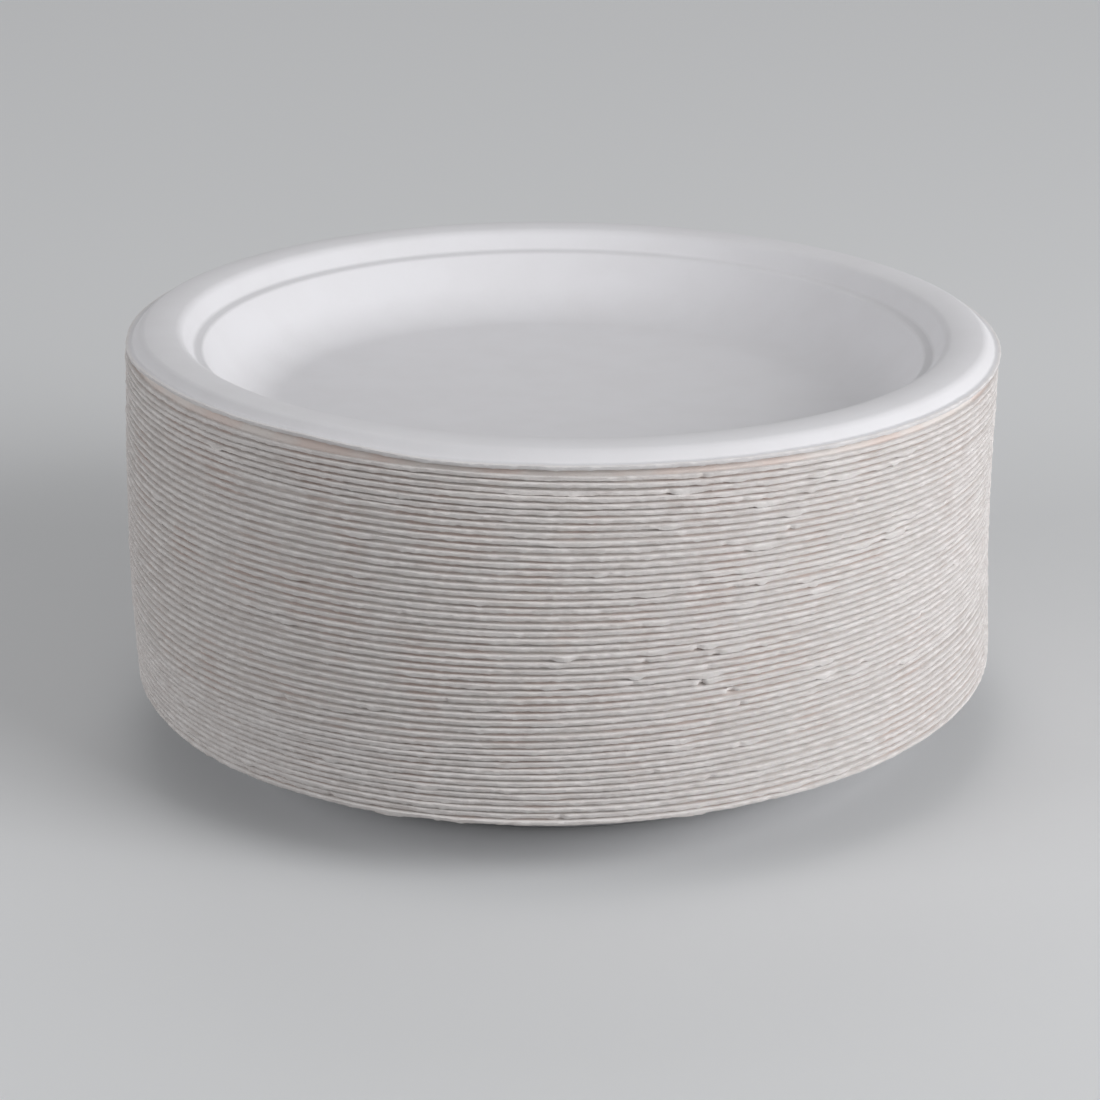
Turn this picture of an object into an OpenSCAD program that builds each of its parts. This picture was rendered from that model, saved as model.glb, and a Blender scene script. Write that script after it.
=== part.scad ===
/* A nested stack of round moulded-pulp plates, standing on the flat base of the lowest one.
   Every plate is one pressed sheet: a flat base, a wide cove, a side wall, a narrow stacking
   ledge, a riser, a shoulder, a shallow domed rim, a turned-down lip, and a narrow flange that
   is trimmed off upright.
   The origin is the centre of the lowest plate's underside, and the stack rises along +Z. */

/* [Stack] */
// Number of plates in the stack
plate_count = 50; // [2:1:56]
// Room between two nested walls, square to the wall
clearance = 0.27; // [0.25:0.01:0.5]
// Plates at the bottom that lean the first way
lower_count = 13; // [1:1:25]
// Tip of each of these plates against the one below, in degrees
lower_tip = 0.11; // [0:0.01:0.15]
// Way in which they tip, counted from +X towards +Y in degrees
lower_way = 180; // [0:1:359]
// Tip of each plate further up against the one below, in degrees
upper_tip = 0.15; // [0:0.01:0.15]
// Way in which these tip, counted from +X towards +Y in degrees
upper_way = 37; // [0:1:359]
// Plates at the top that lie square on the ones below
square_count = 7; // [1:1:20]
// Extra height of the gap under the top plate, which was put back by hand
top_gap = 1.1; // [0.9:0.05:1.5]
// Slide of the top plate towards +X in its nest
top_slide = 0.6; // [0:0.05:0.6]

/* [Base and wall] */
// Radius of the plate at its cut edge
plate_r = 130; // [105:1:150]
// Thickness of the pressed pulp wall
wall_t = 0.8; // [0.6:0.05:1.2]
// Radius of the cove between the flat base and the side wall, on the upper face
cove_r = 20; // [8:0.5:26]
// Slope of the side wall and the riser, from level
wall_slope = 57; // [52:1:60]
// Length of the straight side wall between the cove and the ledge
wall_len = 9.6; // [4:0.1:12]

/* [Stacking ledge] */
// Slope of the ledge, from level
ledge_slope = 8; // [2:1:15]
// Length of the straight part of the ledge
ledge_len = 1.4; // [0.6:0.1:2.5]
// Radius of the two corners beside the ledge, on the upper face
ledge_corner_r = 1.6; // [1.4:0.1:2.5]
// Length of the straight riser between the ledge and the shoulder
riser_len = 4.1; // [1:0.1:5]

/* [Rim and lip] */
// Radius of the shoulder where the riser rolls over into the rim
shoulder_r = 4; // [2.5:0.1:6]
// Slope of the rim where it leaves the shoulder
rim_rise = 9; // [4:0.5:12]
// Slope of the rim where it turns down into the lip
rim_fall = 9.5; // [4:0.5:12]
// Radius of the rim's shallow dome, seen in section
dome_r = 27; // [20:1:45]
// Radius of the turned-down lip, on the upper face
lip_r = 3.5; // [2:0.1:6]
// Slope of the lip at its steepest, from level
lip_slope = 52; // [35:1:55]
// Length of the lip's straight stretch
lip_len = 2.1; // [0.5:0.1:3]
// Radius of the crease where the lip turns out into the flange, on the upper face
crease_r = 1.2; // [0.8:0.1:2]
// Slope of the flange, from level
flange_slope = 8; // [0:1:20]
// Length of the flange, out to the cut edge
flange_len = 1.3; // [0.8:0.1:2.5]

/* [Cut edges] */
// How far the cut radius varies from plate to plate
cut_spread = 0.1; // [0:0.05:0.5]
// Extra radius of the top plate, which sticks out of the stack
top_extra_r = 0.2; // [0:0.1:1]

/* [Hidden] */
$fn = 96;

// Longest facet of a rounded stretch, and the most that one facet may turn
FACET_LEN = 1.6;
FACET_TURN = 12;
// Turn of a sunflower's seeds, which spreads a value from plate to plate without a repeat
SCATTER_TURN = 137.5;

// The section's upper face from the edge of the flat base outwards. A step is an upward turn in
// degrees with its radius, or no turn with a straight length.
SECTION = [
    [wall_slope, cove_r],
    [0, wall_len],
    [ledge_slope - wall_slope, ledge_corner_r],
    [0, ledge_len],
    [wall_slope - ledge_slope, ledge_corner_r],
    [0, riser_len],
    [rim_rise - wall_slope, shoulder_r],
    [-rim_rise - rim_fall, dome_r],
    [rim_fall - lip_slope, lip_r],
    [0, lip_len],
    [lip_slope - flange_slope, crease_r],
    [0, flange_len]
];
STEPS = len(SECTION);

// What a share of one step adds to the section's place, from the slope where the step starts
function straight_run(slope, length) = length * [cos(slope), sin(slope)];
function arc_run(slope, turn, radius) =
    sign(turn) * radius * [sin(slope + turn) - sin(slope), cos(slope) - cos(slope + turn)];
function run(step, slope, share = 1) =
    step[0] == 0 ? straight_run(slope, share * step[1]) : arc_run(slope, share * step[0], step[1]);

// The slope at which each step starts, and its start counted from the edge of the flat base
function slope_at(i) = i == 0 ? 0 : slope_at(i - 1) + SECTION[i - 1][0];
function start_at(i) = i == 0 ? [0, 0] : start_at(i - 1) + run(SECTION[i - 1], slope_at(i - 1));

// The flat base takes what the other steps leave of the plate's radius
base_r = plate_r - start_at(STEPS)[0];

// The corners of the upper face, each as [place, slope], up to the start of the flange
function facets(step) =
    step[0] == 0 ? 1 : ceil(abs(step[0]) * max(1 / FACET_TURN, PI / 180 * step[1] / FACET_LEN));
CORNERS = [
    for (i = [0 : STEPS - 1], k = [0 : facets(SECTION[i]) - 1])
        let (share = k / facets(SECTION[i]))
            [
                [base_r, wall_t] + start_at(i) + run(SECTION[i], slope_at(i), share),
                slope_at(i) + share * SECTION[i][0]
            ]
];
LAST = len(CORNERS) - 1;

// The lower face lies square below the upper one
function below(corner) = corner[0] + wall_t * [sin(corner[1]), -cos(corner[1])];

// The upright cut through the flange: its upper corner at a radius, and its height
function cut_top(radius) =
    CORNERS[LAST][0] + (radius - CORNERS[LAST][0][0]) * [1, -tan(flange_slope)];
cut_h = wall_t / cos(flange_slope);

// The outline of a plate that is cut at a radius: out along the upper face and back below it
function outline(radius) = concat(
    [[0, 0], [0, wall_t]],
    [for (corner = CORNERS) corner[0]],
    [cut_top(radius), cut_top(radius) - [0, cut_h]],
    [for (k = [LAST : -1 : 0]) below(CORNERS[k])]
);

// Nested walls meet before the bases do, so the wall's slope sets the rise from plate to plate
rise = (wall_t + clearance) / cos(wall_slope);
function is_top(i) = i == plate_count;
function rise_above(i) = rise + (is_top(i + 1) ? top_gap : 0);

// The lean of plate i towards +X and +Y, and its base, which rises square to the plate below
function toward(way) = [cos(way), sin(way)];
function lower_tips(i) = min(i, lower_count) - 1;
function upper_tips(i) = max(0, min(i, plate_count - square_count) - lower_count);
function lean(i) =
    lower_tips(i) * lower_tip * toward(lower_way) + upper_tips(i) * upper_tip * toward(upper_way);
function square_to(i) = [sin(lean(i)[0]), sin(lean(i)[1]), 1];
function base_at(i) = i == 1 ? [0, 0, 0] : base_at(i - 1) + rise_above(i - 1) * square_to(i - 1);

// The top plate's slide, and how far it climbs up the wall below it on that side
wall_mid_r = base_r + start_at(2)[0];
top_climb = atan(top_slide * tan(wall_slope) / wall_mid_r);
function slide(i) = is_top(i) ? top_slide : 0;
function climb(i) = is_top(i) ? top_climb : 0;

// The radius at which plate i is cut
function cut_radius(i) =
    plate_r + cut_spread * sin(SCATTER_TURN * i) + (is_top(i) ? top_extra_r : 0);

// One plate, level, with the centre of its underside at the origin
module plate(radius) {
    rotate_extrude() polygon(outline(radius));
}

// Plate i in its place in the stack, counted from the bottom
module nested_plate(i) {
    color("ghostwhite")
        translate(base_at(i) + [slide(i), 0, 0])
            rotate([-lean(i)[1], lean(i)[0] - climb(i), 0])
                plate(cut_radius(i));
}

function plate_name(i) = str("plate_", i < 10 ? "0" : "", i);

for (i = [1 : plate_count])
    nested_plate(i);
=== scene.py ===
"""A nested stack of moulded-pulp plates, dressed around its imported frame.

Every plate of the frame gives way to a pressed sheet in the same place, with the torn and frayed
cut edge of real pulp. Where a plate lies is measured on the frame's own solids.
"""

import logging
import math
from dataclasses import dataclass, field
from enum import Enum
from typing import Any

import bpy
import numpy as np
from mathutils import Matrix, Vector


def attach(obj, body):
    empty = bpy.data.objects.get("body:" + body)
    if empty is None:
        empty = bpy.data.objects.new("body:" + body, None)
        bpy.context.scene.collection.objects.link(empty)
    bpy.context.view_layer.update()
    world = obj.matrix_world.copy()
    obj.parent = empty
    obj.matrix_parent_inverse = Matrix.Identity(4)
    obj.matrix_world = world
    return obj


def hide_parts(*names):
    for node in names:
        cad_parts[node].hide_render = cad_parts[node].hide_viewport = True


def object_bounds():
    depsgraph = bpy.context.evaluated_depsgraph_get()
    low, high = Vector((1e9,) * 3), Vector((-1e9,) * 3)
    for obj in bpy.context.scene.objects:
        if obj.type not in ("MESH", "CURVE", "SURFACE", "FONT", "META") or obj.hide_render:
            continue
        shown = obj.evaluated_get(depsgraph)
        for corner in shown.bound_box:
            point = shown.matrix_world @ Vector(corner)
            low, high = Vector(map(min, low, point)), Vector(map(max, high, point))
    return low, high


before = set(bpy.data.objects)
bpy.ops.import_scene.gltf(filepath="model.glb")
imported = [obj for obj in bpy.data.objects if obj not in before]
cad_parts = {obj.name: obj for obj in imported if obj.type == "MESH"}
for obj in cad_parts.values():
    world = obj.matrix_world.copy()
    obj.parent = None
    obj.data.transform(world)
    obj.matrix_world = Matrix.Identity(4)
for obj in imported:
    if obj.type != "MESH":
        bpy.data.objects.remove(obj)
cad_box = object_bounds()

log = logging.getLogger("plates")

MM = 0.001
FULL_TURN = 2 * math.pi
BODY = "root"

Array = np.ndarray
Colour = tuple[float, float, float, float]


class Zone(Enum):
    """The kinds of surface on a plate: 0 is pressed, 1 is cut, and 2 lies deep in a slot between
    plates, where the colour is painted shade.
    """

    PRESSED = 0.0
    TRIMMED = 0.5
    CORNER = 0.6
    CUT = 1.0
    SHADED_SLOT = 2.0


class Socket:
    """A shader socket that takes part in Python expressions, which add their Math nodes."""

    def __init__(self, shader: "Shader", output: bpy.types.NodeSocket) -> None:
        """Wraps an output socket of a shader's node."""
        self.shader = shader
        self.output = output

    def _math(self, operation: str, *values: Any) -> "Socket":
        """Returns the result of one Math node on sockets or numbers."""
        inputs = dict(enumerate(values))
        return self.shader.node("ShaderNodeMath", {"operation": operation}, inputs)

    def __add__(self, other: Any) -> "Socket":
        """Returns the sum."""
        return self._math("ADD", self, other)

    __radd__ = __add__

    def __mul__(self, other: Any) -> "Socket":
        """Returns the product."""
        return self._math("MULTIPLY", self, other)

    __rmul__ = __mul__

    def __sub__(self, other: Any) -> "Socket":
        """Returns this socket less the other value."""
        return self._math("SUBTRACT", self, other)

    def __rsub__(self, other: Any) -> "Socket":
        """Returns the other value less this socket."""
        return self._math("SUBTRACT", other, self)

    def eased(self, low: float, high: float) -> "Socket":
        """Eases this socket from 0 at a low value to 1 at a high one.

        Args:
            low: The value that gives 0.
            high: The value that gives 1.

        Returns:
            The eased value.
        """
        settings = {"interpolation_type": "SMOOTHSTEP"}
        inputs = {"Value": self, "From Min": low, "From Max": high}
        return self.shader.node("ShaderNodeMapRange", settings, inputs)


@dataclass(frozen=True)
class Blots:
    """A noise pattern: its blots' breadth, its finer layers, and the values between which it shows."""

    size: float
    layers: float
    low: float
    high: float
    roughness: float = 0.5


class Shader:
    """The node tree of a material or of the world, built by short calls."""

    def __init__(self, tree: bpy.types.NodeTree) -> None:
        """Starts an empty node tree."""
        self.tree = tree
        tree.nodes.clear()

    def node(
        self, kind: str, settings: dict[str, Any], inputs: dict[Any, Any], output: Any = 0
    ) -> Socket | None:
        """Adds a node: its settings first, and then its sockets.

        Args:
            kind: The node's type.
            settings: Attributes of the node, such as an operation.
            inputs: Values or sockets, by input name or index.
            output: Name or index of the output to return.

        Returns:
            The chosen output, or None where the node has no output.
        """
        made = self.tree.nodes.new(kind)
        for name, value in settings.items():
            setattr(made, name, value)
        for key, value in inputs.items():
            if isinstance(value, Socket):
                self.tree.links.new(value.output, made.inputs[key])
            else:
                made.inputs[key].default_value = value
        return Socket(self, made.outputs[output]) if made.outputs else None

    def noise(self, place: Socket, blots: Blots) -> Socket:
        """Adds a noise.

        Args:
            place: Where on the surface the noise is read.
            blots: The pattern's size and layers.

        Returns:
            The noise, from 0 to 1.
        """
        inputs = {
            "Vector": place,
            "Scale": 1 / blots.size,
            "Detail": blots.layers,
            "Roughness": blots.roughness,
        }
        return self.node("ShaderNodeTexNoise", {"noise_dimensions": "3D"}, inputs, "Fac")

    def mix(self, share: Any, low: Any, high: Any) -> Socket:
        """Returns two colours mixed by the share of the second one."""
        inputs = {0: share, 6: low, 7: high}
        return self.node("ShaderNodeMix", {"data_type": "RGBA"}, inputs, 2)

    def stretched(self, place: Socket, factors: tuple[float, float, float]) -> Socket:
        """Returns a place scaled by a factor of its own along each axis."""
        inputs = {0: place, 1: factors}
        return self.node("ShaderNodeVectorMath", {"operation": "MULTIPLY"}, inputs)

    def is_seen(self) -> Socket:
        """Tells the rays that show a surface from those that only light the object.

        Returns:
            1 for camera, glossy and transmission rays, and 0 for diffuse bounces.
        """
        rays = [
            self.node("ShaderNodeLightPath", {}, {}, name)
            for name in ("Is Camera Ray", "Is Glossy Ray", "Is Transmission Ray")
        ]
        return (rays[0] + rays[1] + rays[2]).eased(0, 1)


@dataclass(frozen=True)
class PulpFinish:
    """Pressed plant fibre: smooth and matt where the mould pressed it, rough where it was cut. Deep in
    the slots between plates its colour is painted shade, darker and browner in random blotches.
    """

    face: Colour = (0.80, 0.795, 0.823, 1)
    face_shade: Colour = (0.78, 0.773, 0.798, 1)
    cut: Colour = (0.84, 0.81, 0.80, 1)
    cut_shade: Colour = (0.70, 0.655, 0.635, 1)
    # painted shade: the two slot colours are a darker, browner tone that stands in for the shade deep
    # between plates
    slot: Colour = (0.81, 0.77, 0.75, 1)
    slot_deep_shade: Colour = (0.79, 0.70, 0.665, 1)
    face_roughness: float = 0.72
    cut_roughness: float = 0.9
    gloss: float = 0.35
    mottle: Blots = Blots(14 * MM, layers=3, low=0.35, high=0.7)
    # the blots that mix the lighter and the darker tone of the painted slot shade
    slot_shade_blots: Blots = Blots(18 * MM, layers=2, low=0.45, high=0.65)
    streak: Blots = Blots(7 * MM, layers=4, low=0.42, high=0.72, roughness=0.6)
    fibre: Blots = Blots(0.9 * MM, layers=4, low=0.45, high=0.75, roughness=0.6)
    grain: Blots = Blots(0.35 * MM, layers=3, low=0.4, high=0.75, roughness=0.65)
    streak_flatness: float = 5.0
    mottle_share: float = 0.7
    streak_share: float = 0.75
    grain_share: float = 0.35
    fibre_relief: float = 0.6
    face_relief: float = 0.05 * MM
    cut_relief: float = 0.22 * MM

    def material(self) -> bpy.types.Material:
        """Builds the finish.

        Returns:
            The material. It reads the zones' values from the "zone" attribute.
        """
        material = bpy.data.materials.new("moulded_pulp")
        material.use_nodes = True
        shader = Shader(material.node_tree)
        place = shader.node("ShaderNodeTexCoord", {}, {}, "Object")
        banded = shader.stretched(place, (1, 1, self.streak_flatness))
        zone = shader.node("ShaderNodeAttribute", {"attribute_name": "zone"}, {}, "Fac")
        # values of the zone attribute from 1 to 2 bring in the painted shade of the slots between
        # plates
        cut, slot_shading = zone.eased(0, 1), zone.eased(1, 2)
        fibre, grain = shader.noise(place, self.fibre), shader.noise(place, self.grain)

        mottles = shader.noise(place, self.mottle).eased(self.mottle.low, self.mottle.high)
        fibres = fibre.eased(self.fibre.low, self.fibre.high)
        face_spots = mottles * self.mottle_share + fibres * (1 - self.mottle_share)
        face_colour = shader.mix(face_spots, self.face, self.face_shade)

        streaks = shader.noise(banded, self.streak).eased(self.streak.low, self.streak.high)
        grains = grain.eased(self.grain.low, self.grain.high)
        cut_spots = streaks * self.streak_share + grains * self.grain_share
        cut_colour = shader.mix(cut_spots, self.cut, self.cut_shade)

        # painted shade for the slots between plates, in random blotches of a lighter and a darker tone
        shade_blots = shader.noise(place, self.slot_shade_blots).eased(self.slot_shade_blots.low, self.slot_shade_blots.high)
        slot_shade_colour = shader.mix(shade_blots, self.slot, self.slot_deep_shade)
        outer_colour = shader.mix(cut, face_colour, cut_colour)

        relief = (1 - cut) * self.face_relief + cut * self.cut_relief
        height = (fibre * self.fibre_relief + grain * (1 - self.fibre_relief)) * relief
        bump = {"Strength": 1.0, "Distance": 1.0, "Height": height}
        surface = {
            "Base Color": shader.mix(slot_shading, outer_colour, slot_shade_colour),
            "Roughness": cut * (self.cut_roughness - self.face_roughness) + self.face_roughness,
            "Specular IOR Level": self.gloss,
            "Normal": shader.node("ShaderNodeBump", {}, bump),
        }
        pulp = shader.node("ShaderNodeBsdfPrincipled", {}, surface)
        shader.node("ShaderNodeOutputMaterial", {}, {"Surface": pulp})
        return material


@dataclass(frozen=True)
class FloorFinish:
    """A plain pale floor, which throws little light back up at the stack."""

    seen: Colour = (0.80, 0.81, 0.825, 1)
    bounced: Colour = (0.22, 0.22, 0.22, 1)
    roughness: float = 0.9

    def material(self) -> bpy.types.Material:
        """Builds the finish.

        Returns:
            The floor's material.
        """
        material = bpy.data.materials.new("floor")
        material.use_nodes = True
        shader = Shader(material.node_tree)
        colour = shader.mix(shader.is_seen(), self.bounced, self.seen)
        surface = {"Base Color": colour, "Roughness": self.roughness, "Specular IOR Level": 0.0}
        matt = shader.node("ShaderNodeBsdfPrincipled", {}, surface)
        shader.node("ShaderNodeOutputMaterial", {}, {"Surface": matt})
        return material


@dataclass(frozen=True)
class Fineness:
    """How finely one face of a plate is meshed."""

    around: int = 48
    facet: float = 8 * MM
    facet_turn: float = math.radians(25)
    base_rings: int = 1


@dataclass(frozen=True)
class Section:
    """A plate cut through its middle: one pressed sheet of even thickness."""

    plate_r: float = 130 * MM
    wall_t: float = 0.8 * MM
    cove_r: float = 20 * MM
    wall_slope: float = math.radians(57)
    wall_len: float = 9.6 * MM
    ledge_slope: float = math.radians(8)
    ledge_len: float = 1.4 * MM
    ledge_corner_r: float = 1.6 * MM
    riser_len: float = 4.1 * MM
    shoulder_r: float = 4 * MM
    rim_rise: float = math.radians(9)
    rim_fall: float = math.radians(9.5)
    dome_r: float = 27 * MM
    lip_r: float = 3.5 * MM
    lip_slope: float = math.radians(52)
    lip_len: float = 2.1 * MM
    crease_r: float = 1.2 * MM
    flange_slope: float = math.radians(8)
    flange_len: float = 1.3 * MM

    def steps(self) -> list[tuple[float, float]]:
        """Lists the stretches of the upper face from the flat base outwards.

        Returns:
            For each stretch its upward turn and radius, or no turn and its length.
        """
        return [
            (self.wall_slope, self.cove_r),
            (0.0, self.wall_len),
            (self.ledge_slope - self.wall_slope, self.ledge_corner_r),
            (0.0, self.ledge_len),
            (self.wall_slope - self.ledge_slope, self.ledge_corner_r),
            (0.0, self.riser_len),
            (self.rim_rise - self.wall_slope, self.shoulder_r),
            (-self.rim_rise - self.rim_fall, self.dome_r),
            (self.rim_fall - self.lip_slope, self.lip_r),
            (0.0, self.lip_len),
            (self.lip_slope - self.flange_slope, self.crease_r),
            (0.0, self.flange_len),
        ]

    def corners(self, fineness: Fineness) -> Array:
        """Walks along the upper face to the start of the flange.

        Args:
            fineness: The greatest length and turn of one facet.

        Returns:
            Rows of radius, height and slope, from the edge of the flat base outwards.
        """
        run, height, slope = 0.0, 0.0, 0.0
        rows = []
        for turn, size in self.steps():
            length = abs(turn) * size if turn else size
            by_length = math.ceil(length / fineness.facet)
            by_turn = math.ceil(abs(turn) / fineness.facet_turn)
            facets = max(1, by_length, by_turn)
            for _ in range(facets):
                rows.append((run, height, slope))
                if turn:
                    after = slope + turn / facets
                    radius = math.copysign(size, turn)
                    run += radius * (math.sin(after) - math.sin(slope))
                    height += radius * (math.cos(slope) - math.cos(after))
                    slope = after
                else:
                    run += size / facets * math.cos(slope)
                    height += size / facets * math.sin(slope)
        base_r = self.plate_r - run
        return np.array(rows[: len(rows) - facets + 1]) + [base_r, self.wall_t, 0.0]

    def below(self, corners: Array) -> Array:
        """Finds the lower face.

        Args:
            corners: Rows of radius, height and slope on the upper face.

        Returns:
            Rows of radius, height and slope, square below them.
        """
        slope = corners[:, 2]
        drop = self.wall_t * np.stack([np.sin(slope), -np.cos(slope), 0 * slope], 1)
        return corners + drop

    def flange_height(self, start: Array, radius: float) -> float:
        """Returns the upper face's height at a radius, from where the flange starts."""
        return start[1] - (radius - start[0]) * math.tan(self.flange_slope)

    def cut_height(self) -> float:
        """Returns the height of the upright cut through the flange."""
        return self.wall_t / math.cos(self.flange_slope)


@dataclass(frozen=True)
class Pose:
    """Where a plate lies: its underside's centre, its axes and the radius of its cut edge."""

    centre: Array
    axes: Array
    radius: float

    @classmethod
    def of_node(cls, name: str) -> "Pose":
        """Measures a plate on its solid in the frame.

        Args:
            name: The plate's node.

        Returns:
            The plate's pose.
        """
        rim_band, edge_band, passes = 2 * MM, 0.1 * MM, 2
        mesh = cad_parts[name].data
        points = read(mesh.vertices, "co", 3)
        middle = (points.min(0) + points.max(0)) / 2
        reach = (points.max(0) - points.min(0))[0] / 2
        normals, centres = read(mesh.polygons, "normal", 3), read(mesh.polygons, "center", 3)
        areas = read(mesh.polygons, "area", 1)
        near = np.hypot(*(centres - middle)[:, :2].T) < reach / 2
        base = near & (normals[:, 2] < 0)
        up = -(normals[base] * areas[base]).sum(0)
        up /= np.linalg.norm(up)
        across = np.cross([0.0, 1.0, 0.0], up)
        across /= np.linalg.norm(across)
        axes = np.array([across, np.cross(up, across), up])

        flat = points @ axes[:2].T
        away = np.hypot(*(flat - middle @ axes[:2].T).T)
        edge = flat[away > away.max() - rim_band]
        for _ in range(passes):
            centre, radius = circle_through(edge)
            away = np.hypot(*(flat - centre).T)
            edge = flat[away > away.max() - edge_band]
        centre, radius = circle_through(edge)
        foot = (centres[base] @ up).min()
        return cls(centre @ axes[:2] + foot * up, axes, radius)

    def placed(self, local: Array) -> Array:
        """Returns points of the plate's own frame in the stack's frame."""
        return local @ self.axes + self.centre


def read(items: Any, name: str, width: int) -> Array:
    """Reads one property of a mesh's items.

    Args:
        items: The mesh's vertices or polygons.
        name: The property to read.
        width: Numbers per item.

    Returns:
        One row per item.
    """
    flat = np.empty(len(items) * width)
    items.foreach_get(name, flat)
    return flat.reshape(-1, width)


def circle_through(points: Array) -> tuple[Array, float]:
    """Fits a circle by least squares.

    Args:
        points: Points on a plane.

    Returns:
        The circle's centre and radius.
    """
    terms = np.column_stack([2 * points, np.ones(len(points))])
    found = np.linalg.lstsq(terms, (points**2).sum(1), rcond=None)[0]
    return found[:2], math.sqrt(found[2] + found[:2] @ found[:2])


@dataclass(frozen=True)
class Ripple:
    """An uneven edge: a sum of waves, each of a whole number of turns round the plate."""

    turns: Array
    phases: Array
    height: float

    @classmethod
    def drawn(
        cls, rng: np.random.Generator, rim: float, height: float, shortest: float, longest: float
    ) -> "Ripple":
        """Draws a ripple.

        Args:
            rng: Source of the random draws.
            rim: Length of the plate's edge.
            height: Root mean square height of the ripple.
            shortest: Length of its shortest wave.
            longest: Length of its longest wave.

        Returns:
            The ripple.
        """
        waves = 14
        lengths = shortest * (longest / shortest) ** rng.random(waves)
        turns = np.maximum(1, np.round(rim / lengths))
        phases = rng.uniform(0, FULL_TURN, waves)
        return cls(turns, phases, height * math.sqrt(2 / waves))

    def at(self, angles: Array) -> Array:
        """Returns the ripple's height at each angle."""
        return self.height * np.cos(np.outer(angles, self.turns) + self.phases).sum(1)


@dataclass(frozen=True)
class Tear:
    """A spot where the edge was torn or bent: a hanging flake, a nick or a dent."""

    angle: float
    width: float
    out: float = 0.0
    down: float = 0.0
    bend: float = 0.0
    steepness: float = 1.6

    def share(self, angles: Array, radius: float) -> Array:
        """Finds how strongly the spot shows along the edge.

        Args:
            angles: Angles along the edge.
            radius: Radius of the edge.

        Returns:
            A share for each angle: 1 over the middle of the spot, and 0 outside it.
        """
        turn = (angles - self.angle + math.pi) % FULL_TURN - math.pi
        inside = 1 - np.abs(turn) * radius / (self.width / 2)
        inside = np.clip(self.steepness * inside, 0, 1)
        return inside**2 * (3 - 2 * inside)


@dataclass
class Deckle:
    """The uneven cut edge of one plate, drawn from the plate's own seed."""

    radius: float
    seed: int
    marks: list[Tear] = field(default_factory=list)
    sway: float = 0.06 * MM
    wave: float = 0.036 * MM
    wobble: float = 0.06 * MM
    bite: float = 0.035 * MM
    fray: float = 0.1 * MM
    droop: float = 0.1 * MM
    fuzz: float = 0.035 * MM
    calm_tears: float = 3.0
    rough_tears: float = 2.2
    rough_from: float = math.radians(-82)
    rough_to: float = math.radians(-40)
    frayed_way: float = math.radians(-108)
    least_frayed: float = 0.35
    nick_share: float = 0.33

    def __post_init__(self) -> None:
        """Draws the ripples and the torn spots."""
        self.rng = rng = np.random.default_rng(self.seed)
        rim = FULL_TURN * self.radius
        self.swaying = Ripple.drawn(rng, rim, self.sway, shortest=rim / 7, longest=rim / 2)
        self.waving = Ripple.drawn(rng, rim, self.wave, shortest=8 * MM, longest=50 * MM)
        self.wobbling = Ripple.drawn(rng, rim, self.wobble, shortest=25 * MM, longest=rim / 2)
        self.biting = Ripple.drawn(rng, rim, self.bite, shortest=2.5 * MM, longest=16 * MM)
        self.fraying = Ripple.drawn(rng, rim, self.fray, shortest=2.5 * MM, longest=12 * MM)
        self.drooping = Ripple.drawn(rng, rim, self.droop, shortest=15 * MM, longest=90 * MM)
        calm = rng.uniform(-math.pi, math.pi, rng.poisson(self.calm_tears))
        rough = rng.uniform(self.rough_from, self.rough_to, rng.poisson(self.rough_tears))
        self.tears = [self.tear(angle) for angle in (*calm, *rough)] + self.marks

    def tear(self, angle: float) -> Tear:
        """Draws a torn spot at an angle.

        Args:
            angle: Where the spot lies.

        Returns:
            A nick for one spot in three, and a flake for the others.
        """
        if self.rng.random() < self.nick_share:
            width, depth = self.rng.uniform(1.5, 4) * MM, self.rng.uniform(0.3, 0.7) * MM
            return Tear(angle, width, out=-depth)
        width = self.rng.uniform(3, 12) * MM
        out, down = self.rng.uniform(0.0, 0.12) * MM, self.rng.uniform(0.15, 0.5) * MM
        return Tear(angle, width, out, down)

    def torn(self, angles: Array, effects: list[float]) -> Array:
        """Adds up one effect of all the torn spots.

        Args:
            angles: Angles along the edge.
            effects: The effect of each spot at its middle.

        Returns:
            The sum for each angle.
        """
        spots = zip(self.tears, effects)
        return sum(tear.share(angles, self.radius) * effect for tear, effect in spots)

    def bend(self, angles: Array) -> Array:
        """Returns how far the lip is bent up or down at each angle."""
        bent = self.torn(angles, [tear.bend for tear in self.tears])
        return self.swaying.at(angles) + self.waving.at(angles) + bent

    def spread(self, angles: Array) -> Array:
        """Returns how far the cut stands out at each angle."""
        torn = self.torn(angles, [tear.out for tear in self.tears])
        return self.wobbling.at(angles) + self.biting.at(angles) + torn

    def fringe(self, angles: Array) -> Array:
        """Finds how far the cut's lower corner hangs down, most of all on the frayed side.

        Args:
            angles: Angles along the edge.

        Returns:
            The drop at each angle.
        """
        hung = np.maximum(0, self.fraying.at(angles)) + np.maximum(0, self.drooping.at(angles))
        frayed = np.maximum(self.least_frayed, np.cos(angles - self.frayed_way))
        return hung * frayed + self.torn(angles, [tear.down for tear in self.tears])


@dataclass(frozen=True)
class Ring:
    """One ring of a plate's mesh, and the shares of the edge's unevenness that it takes."""

    radius: float
    height: float
    count: int
    zone: Zone = Zone.PRESSED
    spread: float = 0.0
    hang: float = 0.0
    fuzz: float = 0.0


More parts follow.
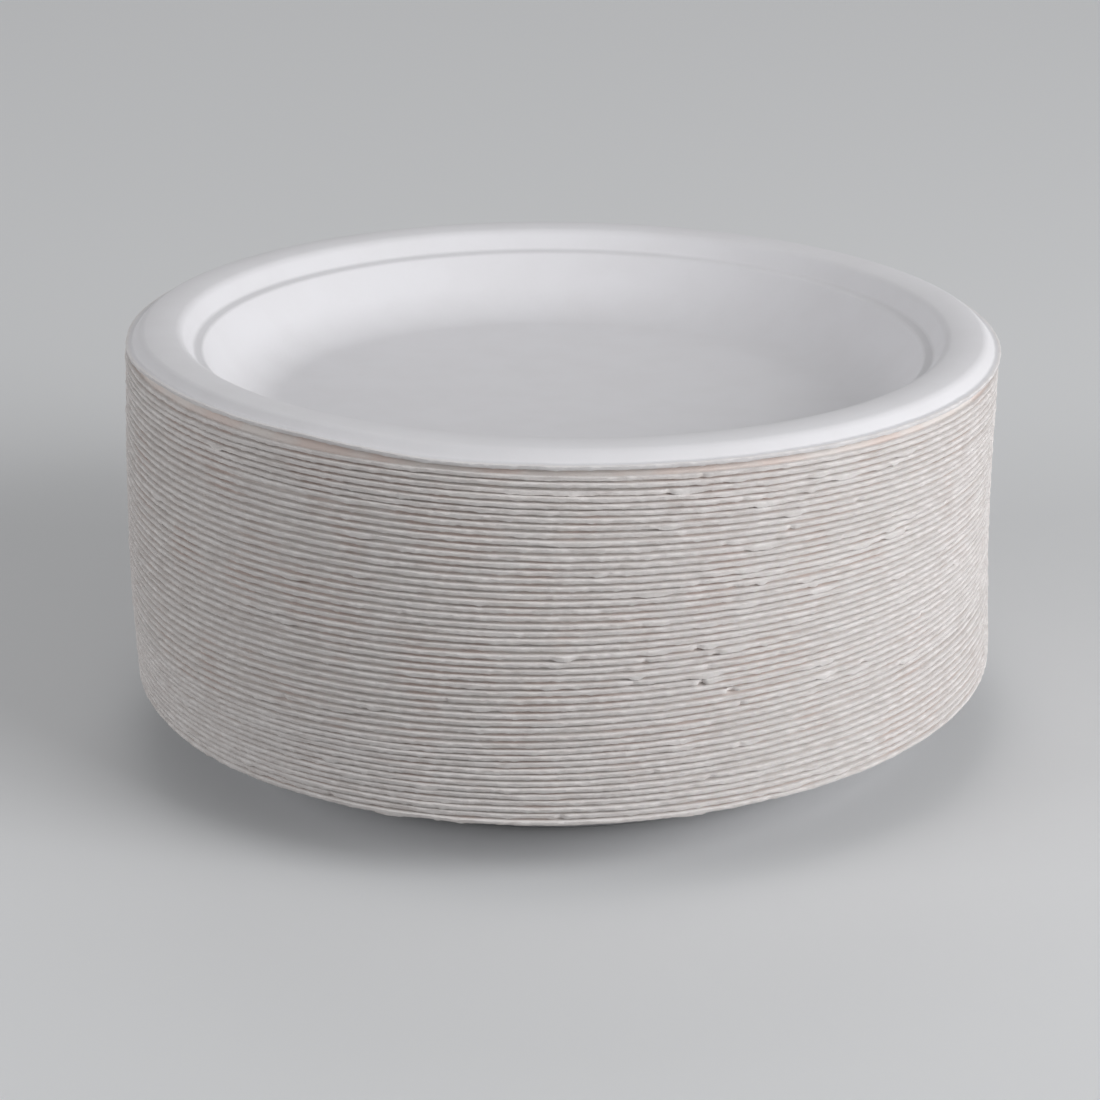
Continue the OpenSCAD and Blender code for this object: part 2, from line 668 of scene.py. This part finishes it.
@dataclass
class Plate:
    """One pressed plate of the stack, and the mesh that stands for its node."""

    name: str
    section: Section
    seed: int
    marks: list[Tear] = field(default_factory=list)
    upper: Fineness = Fineness()
    lower: Fineness = Fineness()
    edge_count: int = 960
    cut_rows: int = 2
    corner_drop: float = 0.14 * MM
    corner_len: float = 0.28 * MM
    tuck: float = 0.3 * MM
    tuck_len: float = 0.9 * MM
    swell: float = 0.17 * MM
    bend_from: float = 112 * MM
    slot_from: float = 118 * MM
    # the flange and the underside take the slot zone by default, whose colour is painted shade
    flange: Zone = Zone.SHADED_SLOT
    cut: Zone = Zone.CUT
    under: Zone = Zone.SHADED_SLOT

    def __post_init__(self) -> None:
        """Measures the plate's place and draws its cut edge."""
        self.pose = Pose.of_node(self.name)
        self.deckle = Deckle(self.pose.radius, self.seed, self.marks)

    def face_rings(self, corners: Array, fineness: Fineness, rim: Zone) -> list[Ring]:
        """Lists the rings of the upper or lower face inside the flange.

        Args:
            corners: Rows of radius, height and slope, from the flat base outwards.
            fineness: Number of vertices on a ring and of rings on the flat base.
            rim: The kind of surface near the plate's edge.

        Returns:
            The rings from the centre outwards.
        """
        count = fineness.around
        base_r, base_z = corners[0, 0], corners[0, 1]
        rings = [Ring(0.0, base_z, 1)]
        for k in range(1, fineness.base_rings):
            rings.append(Ring(base_r * k / fineness.base_rings, base_z, count))
        for radius, height, _ in corners[:-1]:
            # beyond slot_from the face takes the rim zone, which on lower plates is the painted slot
            # shade
            zone = rim if radius > self.slot_from else Zone.PRESSED
            rings.append(Ring(radius, height, count, zone))
        return rings

    def edge_rings(self, upper: Array, lower: Array) -> list[Ring]:
        """Lists the rings of the flange and its cut, whose lower corner is tucked in.

        Args:
            upper: Where the flange starts on the upper face.
            lower: Where it starts on the lower face.

        Returns:
            The rings out over the edge and back in under the flange.
        """
        section, count, cut_r = self.section, self.edge_count, self.pose.radius
        corner_r, under_r = cut_r - self.corner_len, cut_r - self.tuck_len
        cut_z, cut_h = section.flange_height(upper, cut_r), section.cut_height()
        corner_z = section.flange_height(upper, corner_r) + self.swell
        under_z = section.flange_height(upper, under_r) - cut_h - self.swell / 2
        first, last = cut_z + self.swell - self.corner_drop, cut_z - cut_h - self.swell
        rings = [
            Ring(upper[0], upper[1], count, self.flange, spread=0.1),
            Ring(corner_r, corner_z, count, Zone.CORNER, spread=1.0, fuzz=0.3),
        ]
        for k in range(self.cut_rows + 1):
            share = k / self.cut_rows
            radius, height = cut_r - self.tuck * share**3, first + share * (last - first)
            rings.append(Ring(radius, height, count, self.cut, spread=1.0, hang=share**2, fuzz=1.0))
        return rings + [
            Ring(under_r, under_z, count, self.under, spread=1.0, hang=0.5, fuzz=0.4),
            Ring(lower[0], lower[1], count, self.under, spread=0.1),
        ]

    def rings(self) -> list[Ring]:
        """Lists all the rings.

        Returns:
            The rings from the upper face's centre, over the edge, to the lower face's centre.
        """
        upper = self.section.corners(self.upper)
        lower = self.section.below(self.section.corners(self.lower))
        outward = self.face_rings(upper, self.upper, self.flange)
        inward = self.face_rings(lower, self.lower, self.under)[::-1]
        return outward + self.edge_rings(upper[-1], lower[-1]) + inward

    def ring_points(self, ring: Ring) -> Array:
        """Places the vertices of one ring.

        Args:
            ring: The ring to place.

        Returns:
            The vertices in the stack's frame.
        """
        deckle, rng = self.deckle, self.deckle.rng
        angles = np.arange(ring.count) * (FULL_TURN / ring.count)
        reach = (ring.radius - self.bend_from) / (self.section.plate_r - self.bend_from)
        out = ring.radius + ring.spread * deckle.spread(angles)
        height = ring.height + np.clip(reach, 0, 1) ** 2 * deckle.bend(angles)
        height -= ring.hang * deckle.fringe(angles)
        if ring.fuzz:
            out += ring.fuzz * deckle.fuzz * rng.standard_normal(ring.count)
            height += ring.fuzz * deckle.fuzz / 2 * rng.standard_normal(ring.count)
        local = np.stack([out * np.cos(angles), out * np.sin(angles), height], 1)
        return self.pose.placed(local)

    def build(self, material: bpy.types.Material) -> bpy.types.Object:
        """Builds the plate's mesh and lets it stand for its node.

        Args:
            material: The pulp finish.

        Returns:
            The plate's object.
        """
        sharp_from = math.radians(55)
        rings = self.rings()
        points = np.vstack([self.ring_points(ring) for ring in rings])
        zones = np.repeat([ring.zone.value for ring in rings], [ring.count for ring in rings])
        starts = np.cumsum([0] + [ring.count for ring in rings])
        faces: list[list[int]] = []
        for k in range(len(rings) - 1):
            faces += strip(starts[k], rings[k].count, starts[k + 1], rings[k + 1].count)
        mesh = bpy.data.meshes.new(self.name)
        mesh.from_pydata(points.tolist(), [], faces)
        mesh.attributes.new("zone", "FLOAT", "POINT").data.foreach_set("value", zones)
        mesh.shade_smooth()
        mesh.set_sharp_from_angle(angle=sharp_from)
        mesh.materials.append(material)
        piece = bpy.data.objects.new(f"pulp_{self.name}", mesh)
        bpy.context.scene.collection.objects.link(piece)
        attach(piece, BODY)
        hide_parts(self.name)
        return piece


def strip(first: int, first_count: int, second: int, second_count: int) -> list[list[int]]:
    """Joins two neighbouring rings by faces. The greater count is a multiple of the smaller.

    Args:
        first: Index of the first ring's first vertex.
        first_count: Number of its vertices.
        second: Index of the second ring's first vertex.
        second_count: Number of its vertices.

    Returns:
        The faces, each as its vertices' indices.
    """
    faces = []
    parts = min(count for count in (first_count, second_count) if count > 1)
    a, b = first_count // parts, second_count // parts
    for i in range(parts):
        near = [first + (a * i + k) % first_count for k in range(a + 1)] if a else [first]
        far = [second + (b * i + k) % second_count for k in range(b + 1)] if b else [second]
        faces.append([near[0], *far, *near[:0:-1]])
    return faces


@dataclass
class Stack:
    """All the plates, nested from the lowest up."""

    section: Section = field(default_factory=Section)
    finish: PulpFinish = field(default_factory=PulpFinish)
    seed: int = 4100

    def marks(self) -> dict[int, list[Tear]]:
        """Lists the spots that stand out in the photograph.

        Returns:
            The spots by the plate's number: two nicks, a flake, an edge that was pressed in, and
            the top plate's lip, which is bent up at the front left.
        """
        return {
            18: [Tear(math.radians(-69), 3.5 * MM, out=-1.2 * MM, down=-0.35 * MM)],
            20: [Tear(math.radians(-73), 3 * MM, out=-1.2 * MM, down=-0.35 * MM)],
            25: [Tear(math.radians(-90), 7 * MM, out=0.5 * MM, down=0.45 * MM, bend=-0.1 * MM)],
            47: [Tear(math.radians(-90), 80 * MM, out=-0.55 * MM, bend=-0.3 * MM)],
            50: [Tear(math.radians(-138), 160 * MM, bend=1.9 * MM)],
        }

    def plates(self) -> list[Plate]:
        """Lists the plates from the lowest up.

        Returns:
            The plates. The top one is finely meshed, since all of its upper face shows, and so
            is the one below it, since its lip shows under the bent one.
        """
        marks = self.marks()
        names = sorted(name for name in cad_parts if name.startswith("plate_"))
        plates = [
            Plate(name, self.section, self.seed + number, marks.get(number, []))
            for number, name in enumerate(names, 1)
        ]
        lowest, second, top = plates[0], plates[-2], plates[-1]
        # the lowest plate's underside takes the corner zone, not the painted slot shade
        lowest.under = Zone.CORNER
        second.upper = Fineness(around=240, facet=2 * MM, facet_turn=math.radians(10))
        fine_turn, base_rings = math.radians(6), 8
        top.upper = Fineness(384, facet=1.5 * MM, facet_turn=fine_turn, base_rings=base_rings)
        top.lower = Fineness(base_rings=base_rings)
        top.edge_count = 1152
        # the top plate's flange lies open, so it takes the pressed colour and not the painted slot
        # shade
        top.flange, top.cut = Zone.PRESSED, Zone.TRIMMED
        return plates

    def build(self) -> None:
        """Builds every plate."""
        material = self.finish.material()
        triangles = 0
        for plate in self.plates():
            piece = plate.build(material)
            count = sum(len(face.vertices) - 2 for face in piece.data.polygons)
            triangles += count
            log.info("%s: %d triangles, cut at %.2f mm", piece.name, count, plate.pose.radius / MM)
        log.info("triangles in all: %d", triangles)


@dataclass(frozen=True)
class Lamp:
    """A square soft lamp that points at the middle of the stack. Its angles are in degrees."""

    name: str
    azimuth: float
    elevation: float
    power: float
    distance: float = 2.2
    size: float = 1.3

    def hang(self) -> None:
        """Hangs the lamp in the scene."""
        lamp = bpy.data.lights.new(self.name, "AREA")
        lamp.energy, lamp.size, lamp.shape = self.power, self.size, "SQUARE"
        azimuth, elevation = math.radians(self.azimuth), math.radians(self.elevation)
        aim = Vector((
            math.cos(azimuth) * math.cos(elevation),
            math.sin(azimuth) * math.cos(elevation),
            math.sin(elevation),
        ))
        hung = bpy.data.objects.new(self.name, lamp)
        hung.location = aim * self.distance + (cad_box[0] + cad_box[1]) / 2
        hung.rotation_euler = aim.to_track_quat("Z", "Y").to_euler()
        bpy.context.scene.collection.objects.link(hung)


@dataclass
class Studio:
    """A plain pale floor, soft lamps, and a camera at the photograph's viewing angle."""

    floor: FloorFinish = field(default_factory=FloorFinish)
    floor_r: float = 14.0
    floor_corners: int = 96
    photo_px: float = 1100.0
    focal_px: float = 3800.0
    sensor_mm: float = 36.0
    camera_place: tuple[float, float, float] = (-3.45 * MM, -1077.5 * MM, 478.8 * MM)
    camera_range: float = 100.0
    pitch: float = math.radians(21.68)
    roll: float = math.radians(1.28)
    lamps: tuple[Lamp, ...] = (
        Lamp("key", azimuth=-36, elevation=25, power=24.2),
        Lamp("window", azimuth=-22, elevation=12, power=19.3),
        Lamp("fill", azimuth=200, elevation=20, power=14.8),
        Lamp("back", azimuth=90, elevation=40, power=5.0),
    )
    sky: float = 0.24
    sky_seen: float = 0.62

    def lay_floor(self) -> None:
        """Lays the floor as a wide disc under the stack."""
        angles = np.arange(self.floor_corners) * (FULL_TURN / self.floor_corners)
        corners = np.stack([np.cos(angles), np.sin(angles), 0 * angles], 1) * self.floor_r
        mesh = bpy.data.meshes.new("floor")
        mesh.from_pydata(corners.tolist(), [], [list(range(self.floor_corners))])
        mesh.materials.append(self.floor.material())
        disc = bpy.data.objects.new("floor", mesh)
        bpy.context.scene.collection.objects.link(disc)

    def light(self) -> None:
        """Hangs the lamps and sets the even light of the room."""
        for lamp in self.lamps:
            lamp.hang()
        world = bpy.data.worlds.new("room")
        world.use_nodes = True
        shader = Shader(world.node_tree)
        strength = shader.is_seen() * (self.sky_seen - self.sky) + self.sky
        room = shader.node("ShaderNodeBackground", {}, {"Color": (1, 1, 1, 1), "Strength": strength})
        shader.node("ShaderNodeOutputWorld", {}, {"Surface": room})
        bpy.context.scene.world = world

    def set_camera(self) -> None:
        """Sets the camera where the photograph was taken from."""
        lens = bpy.data.cameras.new("camera")
        lens.sensor_width = self.sensor_mm
        lens.lens = self.focal_px / self.photo_px * self.sensor_mm
        lens.clip_end = self.camera_range
        sight = Vector((0, math.cos(self.pitch), -math.sin(self.pitch)))
        level_up = Vector((0, math.sin(self.pitch), math.cos(self.pitch)))
        level_right = Vector((1, 0, 0))
        right = level_right * math.cos(self.roll) - level_up * math.sin(self.roll)
        up = level_right * math.sin(self.roll) + level_up * math.cos(self.roll)
        camera = bpy.data.objects.new("camera", lens)
        turn = Matrix((right, up, -sight)).transposed().to_4x4()
        camera.matrix_world = Matrix.Translation(self.camera_place) @ turn
        bpy.context.scene.collection.objects.link(camera)
        bpy.context.scene.camera = camera

    def build(self) -> None:
        """Builds the whole studio."""
        self.lay_floor()
        self.light()
        self.set_camera()
        bpy.context.scene.view_settings.view_transform = "Standard"
        log.info("floor, lamps and camera are set")


def main() -> None:
    """Builds the stack and the studio."""
    logging.basicConfig(level=logging.INFO, format="%(name)s: %(message)s")
    Stack().build()
    Studio().build()
    bpy.context.view_layer.update()


if __name__ == "__main__":
    main()
